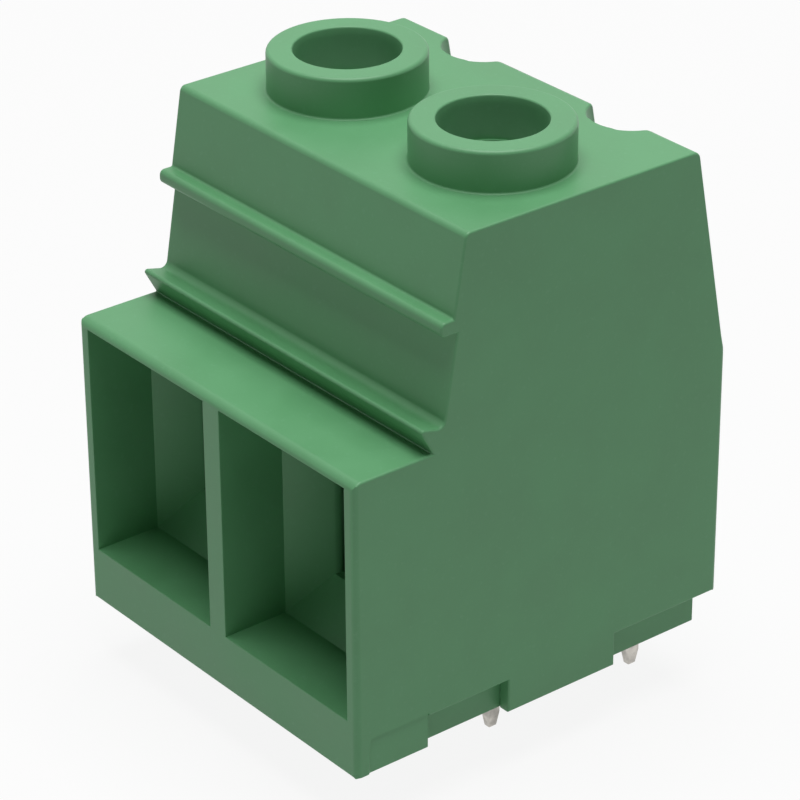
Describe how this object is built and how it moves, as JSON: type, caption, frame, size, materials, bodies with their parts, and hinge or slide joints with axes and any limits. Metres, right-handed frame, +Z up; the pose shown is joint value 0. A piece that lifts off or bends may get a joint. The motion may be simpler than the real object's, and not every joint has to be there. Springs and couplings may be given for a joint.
{
  "type": "two-pole screw terminal for a printed circuit board",
  "caption": "Green board-mounted screw terminal for heavy conductors, with tension-sleeve clamps worked by slotted screws.",
  "frame": {"origin": "on the board's surface, under the base, midway between the two screw axes", "axes": "+X across the poles, +Y from the wire entries to the rear wall, +Z up along the screws, away from the board"},
  "size_m": [0.03, 0.0314, 0.0436],
  "materials": {
    "housing_plastic": "satin",
    "base_plastic": "satin",
    "tinned_copper": "satin",
    "plated_steel": "satin",
    "screw_steel": "satin"
  },
  "bodies": {
    "housing_body": {"housing": "housing_plastic", "base": "base_plastic", "current_bar_left": "tinned_copper", "current_bar_right": "tinned_copper"},
    "screw_left_body": {"screw_left": "screw_steel"},
    "screw_right_body": {"screw_right": "screw_steel"},
    "sleeve_left_body": {"sleeve_left": "plated_steel"},
    "sleeve_right_body": {"sleeve_right": "plated_steel"}
  },
  "joints": [
    {"name": "screw_left_turn", "type": "hinge", "parent": "housing_body", "child": "screw_left_body", "pos_m": [-0.0075, 0, 0.0346], "axis": [0, 0, -1], "range_deg": [0, 3600]},
    {"name": "screw_right_turn", "type": "hinge", "parent": "housing_body", "child": "screw_right_body", "pos_m": [0.0075, 0, 0.0346], "axis": [0, 0, -1], "range_deg": [0, 3600]},
    {"name": "sleeve_left_lift", "type": "slide", "parent": "housing_body", "child": "sleeve_left_body", "axis": [0, 0, 1], "range_m": [0, 0.01]},
    {"name": "sleeve_right_lift", "type": "slide", "parent": "housing_body", "child": "sleeve_right_body", "axis": [0, 0, 1], "range_m": [0, 0.01]}
  ],
  "couplings": [
    {"joint": "screw_left_turn", "follows": "sleeve_left_lift", "rad_per_m": 6283.2},
    {"joint": "screw_right_turn", "follows": "sleeve_right_lift", "rad_per_m": 6283.2}
  ]
}
